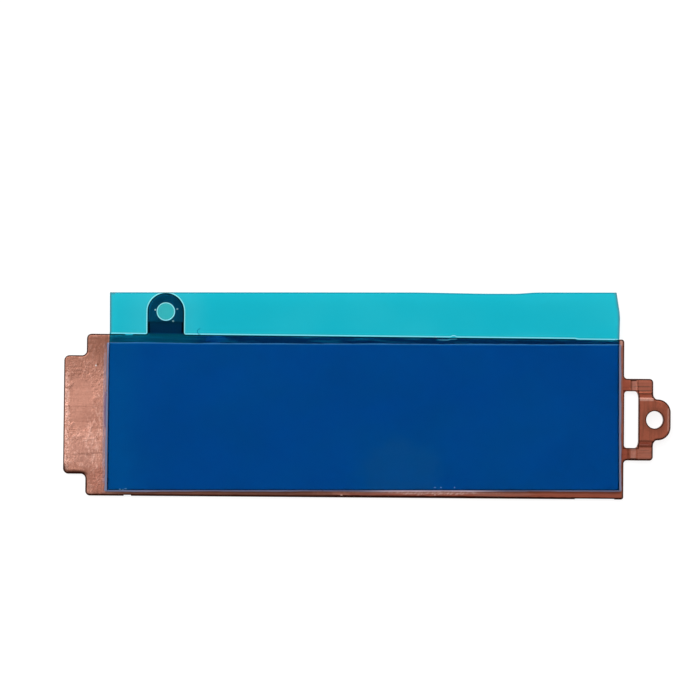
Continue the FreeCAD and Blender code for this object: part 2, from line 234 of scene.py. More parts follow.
# Copper plate: the CAD node stays, with worn bare copper on it.
copperLook = {
    "fresh": (0.54, 0.258, 0.19),
    "brown": (0.42, 0.118, 0.069),
    # Dark tarnish, also laid as painted shade in the bracket's bends and as the pad's painted shadow on the
    # near rim
    "tarnishAndShade": (0.17, 0.06, 0.036),
    # Pale haze, also laid as painted highlights on slopes, bends, the rims and the narrow end's edge
    "hazeAndHighlight": (0.86, 0.52, 0.43),
    "speck": (0.85, 0.80, 0.78),
    # Near-black painted shade for the turned-down edges, the bend lines and the punched edges
    "edgeAndBendShade": (0.034, 0.008, 0.004),
    "greyPurple": (0.17, 0.118, 0.23),
    # Painted lighter grey for the left part of the covered far rim
    "litGreyPurple": (0.36, 0.32, 0.305),
    "earGreyPurple": (0.28, 0.205, 0.31),
    "slopeGreyPurple": (0.25, 0.24, 0.39),
    # Rust red, also laid as painted shade at the arms' feet, on the tab's lower slope and on the near rim
    "rustAndShade": (0.30, 0.05, 0.03),
    "scrape": (0.95, 0.70, 0.62),
    "padSmear": (0.30, 0.40, 0.85),
    "padStain": (0.34, 0.24, 0.28),
    "edgeOn": (1.0, 0.90, 0.85),
    "roughness": 0.46,
    "cloudRoughness": 0.58,
    "lumpDepth": 0.08,
    "scratchDepth": 0.02,
    # Noise: waves to the metre along X, Y and Z
    "cloudGrain": (240, 300, 240),
    "rolledGrain": (150, 3000, 500),
    "tabRolledGrain": (2400, 210, 500),
    "scratchGrain": (160, 4500, 600),
    "tabScratchGrain": (3600, 240, 600),
    "lumpGrain": (3200, 1900, 3200),
    "pitGrain": (4200, 3600, 4200),
    "ridgeGrain": (3600, 1050, 1000),
    "smearGrain": (190, 2600, 300),
    "strokeGrain": (1800, 5600, 1000),
    "cutGrain": (3400, 3400, 350),
    # Edges of marks: grain of the larger ones, grain of the fine ones, and half size below which one is fine
    "coarseGrain": 850.0,
    "fineGrain": 2700.0,
    "fineBelow": 0.25,
    # Shares of the colours laid over the copper
    "cloudShare": 0.22,
    "calmShare": 0.75,
    "lumpShare": 0.46,
    "hollowShare": (0.12, 0.33),
    "streakShare": 0.38,
    "pitShare": 0.25,
    "combedShare": 0.22,
    "smearShare": 0.36,
    "strokeShare": 0.46,
    "cutShare": (0.25, 0.70),
    "punchedShare": 0.82,
    # Changes along X: from, to, and the shares there where they aren't nought and one
    "freshToBrown": (-24.0, 28.0),
    "rolledRise": (38.0, 41.0, 0.22, 0.42),
    "leftEnd": (-35.0, -38.0),
    "filmLeft": (-36.75, -36.55),
    "filmRight": (39.1, 38.9),
    "paleRim": (-22.0, -26.0),
    "bracket": (39.5, 50.0),
    # Changes across Y, in the same way
    "farCorner": (2.5, 11.5, 0.0, 0.70),
    "wornFar": (6.0, 9.5, 1.0, 0.45),
    "edgeBandFar": (7.5, 4.5, 0.0, 0.70),
    "dotBandNear": (0.0, -3.0, 0.15, 0.50),
    "farRim": (10.6, 10.9, 0.0, 0.92),
    "earFoot": (11.9, 12.1),
    "earFlat": (13.3, 13.8),
    # Bands: middle and reach
    "leftEdgeHighlight": (-42.80, 0.52),
    "dotBand": (-42.62, 0.34),
    # Patches in plan: centre, half sizes, ragged edge
    "calmMiddle": ((-40.8, 1.6), (2.2, 4.6), 0.5),
    "streaky": ((-38.6, -3.4), (1.5, 5.4), 0.9),
    "combed": ((-41.0, -7.0), (2.0, 1.3), 0.6),
    "scraped": ((11.2, -11.10), (6.6, 0.36), 0.7),
    # Boxes in plan: lowest and highest X and Y. The bracket's slopes lie on both sides of the middle.
    "tab": (41.9, 48.0, -3.1, 3.1),
    "earSlope": (-30.74, -26.06, 11.7, 14.4),
    "bracketSlopes": ((40.45, 42.05, 4.2, 5.75), (41.95, 43.95, 2.75, 4.35)),
    "paleFarEdge": (32.75, 38.95, 11.72, 12.2),
    # Slot: middle and half sizes. Lines of painted shade round it and round the hole: distance and reach
    "slot": (40.995, 0.995, 4.23),
    "slotLine": (0.05, 0.16),
    "holePlace": (44.39, 0.0),
    "holeLine": (1.36, 0.15),
    # Places in plan: centre, half sizes, ragged edge, share, colour
    "marks": (
        ((-38.4, -10.6), (2.8, 3.4), 0.4, 0.22, "tarnishAndShade"),
        ((-40.2, -5.78), (1.1, 0.17), 0.9, 0.50, "tarnishAndShade"),
        ((-38.5, -5.66), (1.0, 0.16), 0.9, 0.50, "tarnishAndShade"),
        ((-39.4, -6.02), (0.8, 0.13), 0.9, 0.30, "tarnishAndShade"),
        ((-40.6, -3.7), (1.9, 0.10), 0.7, 0.35, "tarnishAndShade"),
        ((-41.2, 6.0), (1.2, 0.12), 0.7, 0.35, "tarnishAndShade"),
        ((-38.36, 7.42), (0.16, 0.14), 0.3, 0.80, "tarnishAndShade"),
        ((-38.62, 7.26), (0.14, 0.14), 0.3, 0.55, "speck"),
        ((-37.30, 0.0), (0.25, 11.3), 0.5, 0.72, "padStain"),
        # Painted shadow at the foot of the pad's left edge
        ((-37.16, 0.6), (0.20, 2.9), 0.5, 0.80, "greyPurple"),
        ((-37.7, 9.2), (0.9, 2.2), 0.5, 0.16, "tarnishAndShade"),
        # Painted shade on the turned-down edges at the narrow end's lower-left corner: this one and the next
        # three
        ((-41.7, -8.50), (1.9, 0.42), 0.2, 0.78, "tarnishAndShade"),
        ((-41.6, -8.74), (1.9, 0.44), 0.15, 0.88, "edgeAndBendShade"),
        ((-43.0, -7.9), (0.36, 0.70), 0.2, 0.60, "tarnishAndShade"),
        ((-43.2, -8.1), (0.30, 0.75), 0.15, 0.80, "edgeAndBendShade"),
        ((-37.9, -9.8), (1.6, 2.2), 0.5, 0.20, "rustAndShade"),
        # Painted shade on the turned-down near edge: this one and the next three
        ((-39.95, -10.5), (0.26, 1.6), 0.15, 0.80, "edgeAndBendShade"),
        ((0.0, -11.92), (52.0, 0.39), 0.25, 0.95, "edgeAndBendShade"),
        ((-33.8, -11.74), (0.85, 0.16), 0.15, 0.85, "edgeAndBendShade"),
        ((35.7, -11.80), (3.4, 0.14), 0.15, 0.85, "edgeAndBendShade"),
        ((-2.15, -11.58), (0.20, 0.11), 0.3, 0.60, "hazeAndHighlight"),
        ((-31.02, -11.34), (0.16, 0.08), 0.3, 0.60, "speck"),
        # The pad's painted shadow on the near rim
        ((-20.5, -11.5), (17.0, 0.9), 0.3, 0.72, "tarnishAndShade"),
        ((11.2, -11.06), (6.0, 0.34), 0.8, 0.32, "hazeAndHighlight"),
        ((21.5, -11.25), (5.5, 0.40), 0.5, 0.12, "hazeAndHighlight"),
        ((9.5, -11.12), (12.5, 0.21), 0.5, 0.24, "hazeAndHighlight"),
        ((-29.96, 15.54), (0.14, 0.14), 0.3, 0.80, "speck"),
        ((-26.72, 15.69), (0.16, 0.16), 0.3, 0.60, "speck"),
        ((-27.3, 13.89), (0.18, 0.16), 0.3, 0.70, "speck"),
        ((12.75, 11.58), (1.1, 0.12), 0.3, 0.80, "speck"),
        ((14.15, 11.74), (0.75, 0.11), 0.3, 0.80, "speck"),
        ((-40.4, -5.0), (2.7, 2.6), 0.6, 0.12, "hazeAndHighlight"),
        ((-37.10, 11.0), (0.28, 1.1), 0.4, 0.50, "tarnishAndShade"),
        # Painted highlight at the right rim's far corner
        ((39.5, 11.4), (0.22, 0.55), 0.4, 0.40, "hazeAndHighlight"),
        ((44.4, 0.0), (2.1, 2.1), 0.3, 0.30, "tarnishAndShade"),
        # Painted shade in the arms' bend lines: this one and the next two
        ((40.98, 5.2), (0.16, 0.8), 0.5, 0.50, "tarnishAndShade"),
        ((40.90, -5.2), (0.16, 0.7), 0.5, 0.50, "tarnishAndShade"),
        ((41.86, 5.4), (0.09, 0.5), 0.4, 0.45, "tarnishAndShade"),
        ((-21.3, 11.30), (1.4, 0.50), 1.6, 0.30, "padSmear"),
        ((43.4, 0.0), (2.6, 3.0), 0.3, 0.10, "tarnishAndShade"),
        # Painted shade in the bends of the tab's slopes, with a painted highlight on the lower one: this one
        # and the next six
        ((43.0, 3.88), (1.2, 0.12), 0.3, 0.80, "tarnishAndShade"),
        ((42.9, -3.10), (1.1, 0.10), 0.3, 0.70, "tarnishAndShade"),
        ((42.8, -3.72), (1.0, 0.09), 0.4, 0.35, "hazeAndHighlight"),
        ((42.9, -3.95), (1.1, 0.09), 0.3, 0.70, "tarnishAndShade"),
        ((42.6, 4.94), (1.6, 0.11), 0.3, 0.80, "tarnishAndShade"),
        ((43.0, 4.36), (1.15, 0.11), 0.3, 0.75, "tarnishAndShade"),
        ((42.9, -4.56), (0.9, 0.08), 0.9, 0.60, "tarnishAndShade"),
        ((41.0, -4.48), (0.9, 0.22), 0.4, 0.50, "tarnishAndShade"),
        ((44.05, -5.0), (0.12, 0.5), 0.6, 0.50, "tarnishAndShade"),
    ),
    # Strips of painted highlight and painted shade, most of them on the bracket, and a pale band along the
    # far
    # edge: lowest and highest X and Y, share, colour
    "stripSoft": 0.12,
    "strips": (
        # Painted highlight along the right rim beside the pad
        (39.36, 39.72, -2.0, 11.7, 0.20, "hazeAndHighlight"),
        # The arms: painted shade at their feet, painted highlights on their slopes and on the tab's upper
        # slope, painted shade in their bend lines
        (39.7, 40.80, 4.2, 6.2, 0.34, "rustAndShade"),
        (39.7, 40.80, -6.2, -4.2, 0.34, "rustAndShade"),
        (41.10, 41.80, 4.2, 6.2, 0.22, "hazeAndHighlight"),
        (41.02, 41.72, -6.2, -4.2, 0.26, "hazeAndHighlight"),
        (41.9, 44.4, 4.2, 6.2, 0.06, "hazeAndHighlight"),
        (41.9, 44.4, -6.2, -4.2, 0.10, "hazeAndHighlight"),
        (42.0, 44.2, 2.82, 3.26, 0.58, "hazeAndHighlight"),
        (40.88, 41.14, 4.3, 6.0, 0.36, "edgeAndBendShade"),
        (41.84, 42.08, 4.3, 6.0, 0.40, "edgeAndBendShade"),
        (40.45, 40.95, -6.0, -4.3, 0.40, "edgeAndBendShade"),
        (41.70, 41.95, -6.0, -4.3, 0.42, "edgeAndBendShade"),
        # Painted highlight on the tab's rounded right edge, painted shade on its lower slope, and the pad's
        # painted shadow on the near rim
        (46.28, 46.52, -1.7, 1.7, 0.40, "hazeAndHighlight"),
        (42.0, 44.0, -3.95, -3.20, 0.44, "rustAndShade"),
        (-1.0, 38.6, -11.56, -11.34, 0.34, "rustAndShade"),
        (32.75, 38.90, 11.83, 12.2, 0.95, "speck"),
    ),
}


def copperMaterial(look):
    material, tree, shader = newMaterial("wornCopper")
    along, across = axis(tree, "X"), axis(tree, "Y")
    colour = blend(tree, ramp(tree, along, *look["freshToBrown"]), look["fresh"], look["brown"])
    # Broad cloudy tarnish, then fine rolling lines along the plate, strongest on the end bracket.
    cloud = spread(tree, noise(tree, look["cloudGrain"], detail=5.0), 0.45, 0.75)
    colour = blend(tree, times(tree, cloud, look["cloudShare"]), colour, look["tarnishAndShade"])
    onTab = box(tree, *look["tab"], 0.1)
    rolled = either(tree, onTab, noise(tree, look["rolledGrain"], centre=(0.1, 0, 0), detail=4.0),
                    noise(tree, look["tabRolledGrain"], centre=(0.2, 0, 0), detail=4.0))
    rolled = spread(tree, rolled, 0.45, 0.72)
    rolled = times(tree, rolled, ramp(tree, along, *look["rolledRise"]))
    colour = blend(tree, rolled, colour, look["tarnishAndShade"])
    # The narrow end darkens towards the far corner. Its lumps and pits are strongest off the middle.
    leftEnd = ramp(tree, along, *look["leftEnd"])
    farCorner = times(tree, leftEnd, ramp(tree, across, *look["farCorner"]))
    colour = blend(tree, farCorner, colour, look["tarnishAndShade"])
    calm = patch(tree, *look["calmMiddle"])
    worn = times(tree, leftEnd, without(tree, times(tree, calm, look["calmShare"])))
    worn = times(tree, worn, ramp(tree, across, *look["wornFar"]))
    lumps = noise(tree, look["lumpGrain"], detail=4.0, roughness=0.65)
    grains = noise(tree, look["pitGrain"], centre=(0.3, 0, 0), detail=3.0)
    ridges = noise(tree, look["ridgeGrain"], centre=(0, 0.03, 0), detail=3.0)
    light = times(tree, spread(tree, lumps, 0.53, 0.70), times(tree, worn, look["lumpShare"]))
    dark = times(tree, spread(tree, lumps, 0.46, 0.32), spread(tree, worn, 0, 1, *look["hollowShare"]))
    colour = blend(tree, light, colour, look["hazeAndHighlight"])
    colour = blend(tree, dark, colour, look["tarnishAndShade"])
    # A painted highlight along the narrow end's left edge, broken into lumps, and upright streaks beside the
    # pad.
    leftEdgeHighlight = within(tree, along, *look["leftEdgeHighlight"])
    leftEdgeHighlight = times(tree, leftEdgeHighlight, spread(tree, grains, 0.40, 0.58))
    leftEdgeHighlight = times(tree, leftEdgeHighlight, ramp(tree, across, *look["edgeBandFar"]))
    colour = blend(tree, leftEdgeHighlight, colour, look["hazeAndHighlight"])
    streaky = patch(tree, *look["streaky"])
    streaks = times(tree, spread(tree, ridges, 0.47, 0.64), times(tree, streaky, look["streakShare"]))
    colour = blend(tree, streaks, colour, look["hazeAndHighlight"])
    # Dark pits, dots inside the pale edge, and combed lines near the lower corner.
    pits = times(tree, spread(tree, grains, 0.42, 0.30), times(tree, worn, look["pitShare"]))
    colour = blend(tree, pits, colour, look["tarnishAndShade"])
    dots = times(tree, within(tree, along, *look["dotBand"]), spread(tree, lumps, 0.46, 0.38))
    dots = times(tree, dots, ramp(tree, across, *look["dotBandNear"]))
    colour = blend(tree, dots, colour, look["tarnishAndShade"])
    combed = patch(tree, *look["combed"])
    combed = times(tree, spread(tree, ridges, 0.52, 0.40), times(tree, combed, look["combedShare"]))
    colour = blend(tree, combed, colour, look["tarnishAndShade"])
    plain = colour
    # The copper that the film covers is greyed: the far rim, paler towards its left end with painted light,
    # then the ear's slope and flat.
    underFilm = times(tree, ramp(tree, along, *look["filmLeft"]), ramp(tree, along, *look["filmRight"]))
    covered = times(tree, underFilm, ramp(tree, across, *look["farRim"]))
    smear = noise(tree, look["smearGrain"], centre=(0.05, 0, 0), detail=4.0)
    smear = spread(tree, smear, 0.50, 0.66, 0.0, look["smearShare"])
    leftRim = ramp(tree, along, *look["paleRim"])
    filmedCopper = blend(tree, smear, blend(tree, leftRim, look["greyPurple"], look["litGreyPurple"]), look["speck"])
    filmedCopper = blend(tree, ramp(tree, across, *look["earFoot"]), filmedCopper, look["slopeGreyPurple"])
    filmedCopper = blend(tree, ramp(tree, across, *look["earFlat"]), filmedCopper, look["earGreyPurple"])
    colour = blend(tree, covered, colour, filmedCopper)
    for centre, half, ragged, share, name in look["marks"]:
        grain = look["fineGrain"] if min(half) < look["fineBelow"] else look["coarseGrain"]
        mask = times(tree, patch(tree, centre, half, ragged, grain), share)
        colour = blend(tree, mask, colour, look[name])
    for lowX, highX, lowY, highY, share, name in look["strips"]:
        mask = box(tree, lowX, highX, lowY, highY, look["stripSoft"])
        mask = times(tree, mask, spread(tree, lumps, 0.3, 0.6, 0.6, 1.0))
        colour = blend(tree, times(tree, mask, share), colour, look[name])
    # Short bright strokes where the near rim was scraped.
    strokes = spread(tree, noise(tree, look["strokeGrain"], turn=-0.7, detail=2.0), 0.50, 0.57)
    strokes = times(tree, strokes, patch(tree, *look["scraped"]))
    colour = blend(tree, times(tree, strokes, look["strokeShare"]), colour, look["scrape"])
    # The back has the plain copper, without the greyed covered part, the marks, the strips and the strokes.
    coords = tree.nodes.new("ShaderNodeTexCoord")
    facing = tree.nodes.new("ShaderNodeSeparateXYZ")
    tree.links.new(coords.outputs["Normal"], facing.inputs[0])
    colour = blend(tree, spread(tree, facing.outputs["Z"], 0.0, 0.3), plain, colour)
    # Painted shade darkens the edges where the surface turns down, more so on the near side, which faces away
    # from the light, and on the bracket's rolled edges; the upright sheared cut itself is streaked and paler.
    # The pressed slopes and the pale part of the far edge stay clear.
    level = calc(tree, "ABSOLUTE", facing.outputs["Z"])
    turned = spread(tree, level, 0.98, 0.70, 0.0, 0.92)
    bracketEdgeShade = spread(tree, level, 0.995, 0.84, 0.0, 0.92)
    turned = most(tree, turned, times(tree, bracketEdgeShade, band(tree, along, *look["bracket"])))
    nearSideShade = spread(tree, facing.outputs["Y"], -0.12, -0.5, 0.0, 0.94)
    offMiddle = calc(tree, "ABSOLUTE", across)
    pressed = most(tree, box(tree, *look["earSlope"]), box(tree, *look["paleFarEdge"]))
    for lowX, highX, lowY, highY in look["bracketSlopes"]:
        slope = times(tree, band(tree, along, lowX, highX), band(tree, offMiddle, lowY, highY))
        pressed = most(tree, pressed, slope)
    edgeAndBendShade = times(tree, most(tree, turned, nearSideShade), without(tree, pressed))
    streak = noise(tree, look["cutGrain"], centre=(0, 0.4, 0), detail=3.0)
    streak = spread(tree, streak, 0.38, 0.66, *look["cutShare"])
    upright = times(tree, spread(tree, level, 0.30, 0.10), streak)
    edgeAndBendShade = times(tree, edgeAndBendShade, without(tree, upright))
    # The slot and the screw hole are punched; painted shade lays a dark line along their sharp edges, as
    # along the outline.
    slotX, slotHalfX, slotHalfY = look["slot"]
    pastX = calc(tree, "ABSOLUTE", calc(tree, "SUBTRACT", along, slotX * mm))
    pastX = calc(tree, "SUBTRACT", pastX, slotHalfX * mm)
    pastY = calc(tree, "SUBTRACT", offMiddle, slotHalfY * mm)
    slotLine = within(tree, most(tree, pastX, pastY), *look["slotLine"])
    holeLine = within(tree, fromPoint(tree, look["holePlace"]), *look["holeLine"])
    punched = times(tree, most(tree, slotLine, holeLine), look["punchedShare"])
    colour = blend(tree, most(tree, edgeAndBendShade, punched), colour, look["edgeAndBendShade"])
    feed(tree, shader.inputs["Base Color"], colour)
    shader.inputs["Metallic"].default_value = 1.0
    shader.inputs["Specular Tint"].default_value = (*look["edgeOn"], 1.0)
    gloss = spread(tree, cloud, 0.0, 1.0, look["roughness"], look["cloudRoughness"])
    feed(tree, shader.inputs["Roughness"], gloss)
    # Relief: the lumps of the narrow end, the rolling scratches and the upright ridges.
    relief = times(tree, lumps, spread(tree, worn, 0, 1, 0.25, 1.0))
    dents = bump(tree, relief, look["lumpDepth"] * mm, 0.8)
    lines = either(tree, onTab, noise(tree, look["scratchGrain"], centre=(0, 0.2, 0), detail=3.0),
                   noise(tree, look["tabScratchGrain"], centre=(0, 0.3, 0), detail=3.0))
    dents = bump(tree, lines, look["scratchDepth"] * mm, 0.45, dents)
    ridged = times(tree, ridges, worn)
    feed(tree, shader.inputs["Normal"], bump(tree, ridged, look["scratchDepth"] * mm, 0.8, dents))
    return material


spreader.data.materials.clear()
spreader.data.materials.append(copperMaterial(copperLook))
print("stage: copper")


# Gap pad: a soft slab with rounded cut edges.
padLook = {
    "length": 76.65,
    "width": 22.0,
    "centre": (1.12, -0.03),
    "turn": 0.45,
    "bottom": 0.802,
    "top": 1.796,
    "edgeRound": 0.22,
    "roundSteps": 6,
    "steps": (110, 44),
    # Its edges: how far they wander, the left one's lean, a swelling and an inset of the far one
    "edgeWander": 0.03,
    "wanderReach": 2.0,
    "leftSkew": 0.26,
    "skewReach": 4.0,
    "bulge": (-21.4, 1.25, 0.10),
    "farInset": (-32.0, -24.5, 0.08),
    "farReach": 3.0,
    "colour": (0.375, 0.39, 0.75),
    "shade": (0.335, 0.375, 0.68),
    "leftTone": (0.40, 0.456, 0.75),
    # Painted highlight along the far edge's rounding
    "farEdgeHighlight": (0.75, 0.85, 1.0),
    "cut": (0.205, 0.205, 0.31),
    "leftCut": (0.145, 0.180, 0.31),
    "darkCut": (0.085, 0.075, 0.115),
    "paleCut": (0.80, 0.60, 0.68),
    "roughness": 0.75,
    "speckDepth": 0.004,
    # Noise: waves to the metre along X, Y and Z
    "cloudGrain": (130, 190, 130),
    "speckGrain": (5200, 5200, 5200),
    "unevenGrain": (95, 160, 60),
    "darkPatchGrain": (120, 120, 60),
    "nickGrain": 2400.0,
    # Distances in from the edges: bare ends and near edge, the painted highlight along the far edge and where
    # it ends
    "bareEnds": (0.75, 0.35),
    "bareNear": (0.35, 0.05),
    "farLineFrom": (0.24, 0.10),
    "farLineEnds": (0.4, 0.7),
    # Shares of the half length: where the left tone sets in, and where the right end's cut stays even
    "leftPart": (-0.80, -0.96),
    "evenRight": (0.97, 0.93),
    # Along the near edge: where it turns darker, and the middle and reach of its pale part
    "nearDark": (-34.0, -29.0),
    "palePart": (10.0, 11.5),
    # Shares of the colours laid over the pad
    "unevenShare": 0.42,
    "farLineShare": 0.6,
    "nickShare": 0.7,
    # Dark nicks in the left and near edges: centre and half sizes in plan
    "nicks": (((-37.08, 4.15), (0.11, 0.24)), ((-36.98, 3.55), (0.13, 0.16)),
              ((-37.02, 2.95), (0.12, 0.26)), ((-4.98, -11.02), (0.14, 0.14))),
}


def padInset(tree, along):
    # How far the pad's far edge lies in at a place along it.
    insetFrom, insetTo, inset = padLook["farInset"]
    return ramp(tree, along, insetFrom, insetTo, 0.0, inset * mm)


def padMaterial(look):
    material, tree, shader = newMaterial("gapPad")
    cloud = spread(tree, noise(tree, look["cloudGrain"], detail=3.0), 0.35, 0.75)
    speck = spread(tree, noise(tree, look["speckGrain"], detail=2.0), 0.55, 0.75, 0.0, 0.35)
    colour = blend(tree, cloud, look["colour"], look["shade"])
    colour = blend(tree, speck, colour, look["shade"])
    # Greyer at the cut edges, which the film leaves bare, with painted shade of their rounding in that grey,
    # and a painted highlight along the far edge under it.
    middle = (look["centre"][0] * mm, look["centre"][1] * mm, 0)
    turned = place(tree, centre=middle, turn=-math.radians(look["turn"]))
    local = tree.nodes.new("ShaderNodeSeparateXYZ")
    tree.links.new(turned, local.inputs[0])
    along, across = local.outputs["X"], local.outputs["Y"]
    halfLength, halfWidth = look["length"] / 2, look["width"] / 2
    offMiddle = calc(tree, "ABSOLUTE", along)
    bareX = ramp(tree, offMiddle, *(halfLength - inward for inward in look["bareEnds"]))
    bareY = ramp(tree, across, *(inward - halfWidth for inward in look["bareNear"]))
    leftSide = ramp(tree, along, *(share * halfLength for share in look["leftPart"]))
    colour = blend(tree, leftSide, colour, look["leftTone"])
    cut = blend(tree, leftSide, look["cut"], look["leftCut"])
    uneven = noise(tree, look["unevenGrain"], centre=(0.4, 0.1, 0), detail=4.0)
    uneven = spread(tree, uneven, 0.42, 0.60, 0.0, look["unevenShare"])
    evenRight = ramp(tree, along, *(share * halfLength for share in look["evenRight"]))
    cut = blend(tree, times(tree, uneven, evenRight), cut, look["darkCut"])
    # The near edge is darker in places, but not at its left end, and pale right of the middle.
    nearDark = noise(tree, look["darkPatchGrain"], centre=(0.7, 0.1, 0), detail=4.0)
    nearDark = spread(tree, nearDark, 0.34, 0.56, 0.2, 0.6)
    nearDark = times(tree, nearDark, ramp(tree, along, *look["nearDark"]))
    cut = blend(tree, times(tree, nearDark, bareY), cut, look["darkCut"])
    cut = blend(tree, within(tree, along, *look["palePart"]), cut, look["paleCut"])
    colour = blend(tree, most(tree, bareX, bareY), colour, cut)
    fromFar = calc(tree, "ADD", across, padInset(tree, along))
    farFrom, farTo = (halfWidth - inward for inward in look["farLineFrom"])
    farEdgeHighlight = ramp(tree, fromFar, farFrom, farTo, 0.0, look["farLineShare"])
    under = ramp(tree, offMiddle, *(halfLength - inward for inward in look["farLineEnds"]))
    colour = blend(tree, times(tree, farEdgeHighlight, under), colour, look["farEdgeHighlight"])
    for centre, half in look["nicks"]:
        mask = times(tree, patch(tree, centre, half, 0.4, look["nickGrain"]), look["nickShare"])
        colour = blend(tree, mask, colour, look["darkCut"])
    feed(tree, shader.inputs["Base Color"], colour)
    shader.inputs["Roughness"].default_value = look["roughness"]
    feed(tree, shader.inputs["Normal"], bump(tree, speck, look["speckDepth"] * mm, 0.4))
    return material


def padGrid(look, side):
    # Plan grid that is close-set at the edges; the height falls off as a quarter circle within one
    # rounding radius of the nearest edge, and the corners of the grid are pulled onto a circle. The
    # edges wander by sums of sines.
    radius = look["edgeRound"]
    curve = radius * np.sin(np.linspace(0, math.pi / 2, look["roundSteps"]))
    halves = [look["length"] / 2, look["width"] / 2]
    lines = []
    for half, count in zip(halves, look["steps"]):
        inner = np.linspace(radius - half, half - radius, count)
        lines.append(np.concatenate([-(half - radius) - curve[:0:-1], inner, half - radius + curve[1:]]))
    x, y = np.meshgrid(*lines, indexing="ij")
    overX = np.clip(np.abs(x) - (halves[0] - radius), 0, None)
    overY = np.clip(np.abs(y) - (halves[1] - radius), 0, None)
    over = np.hypot(overX, overY)
    pull = np.where(over > radius, radius / np.maximum(over, 1e-9), 1.0)
    x = np.sign(x) * (np.abs(x) - overX * (1 - pull))
    y = np.sign(y) * (np.abs(y) - overY * (1 - pull))
    drop = radius - np.sqrt(np.clip(radius ** 2 - np.minimum(over, radius) ** 2, 0, None))
    wander, reach = look["edgeWander"], look["wanderReach"]
    y = y + wander * np.sign(y) * smoothStep(np.abs(y), halves[1] - reach, halves[1]) * (
        np.sin(x * 0.9) * 0.5 + np.sin(x * 0.37 + 1.0) + np.sin(x * 3.1) * np.sin(x * 0.7) * 0.6)
    x = x + wander * np.sign(x) * smoothStep(np.abs(x), halves[0] - reach, halves[0]) * (
        np.sin(y * 1.1 + 0.6) + np.sin(y * 3.7 + 0.4) * np.sin(y * 0.8) * 0.9)
    # The left edge leans, one place on the far edge is squeezed out, and the rest of it lies in a little.
    leaning = smoothStep(-x, halves[0] - look["skewReach"], halves[0])
    x = x + look["leftSkew"] * leaning * (y / look["width"] + 0.5)
    bulgeX, bulgeReach, swell = look["bulge"]
    bulge = np.exp(-((x + look["centre"][0] - bulgeX) / bulgeReach) ** 4)
    y = y + swell * bulge * smoothStep(y, halves[1] - look["farReach"], halves[1])
    insetFrom, insetTo, inset = look["farInset"]
    inward = inset * smoothStep(x, insetFrom, insetTo)
    y = y - inward * smoothStep(y, halves[1] - look["farReach"], halves[1])
    z = look["top"] - drop if side > 0 else look["bottom"] + drop
    turn = math.radians(look["turn"])
    turnedX = look["centre"][0] + x * math.cos(turn) - y * math.sin(turn)
    turnedY = look["centre"][1] + x * math.sin(turn) + y * math.cos(turn)
    return np.stack([turnedX, turnedY, z], -1)


pad = closedSheet("gapPad", padGrid(padLook, 1), padGrid(padLook, -1), padMaterial(padLook))
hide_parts("thermal_pad")
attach(pad, "root")
print("stage: pad")


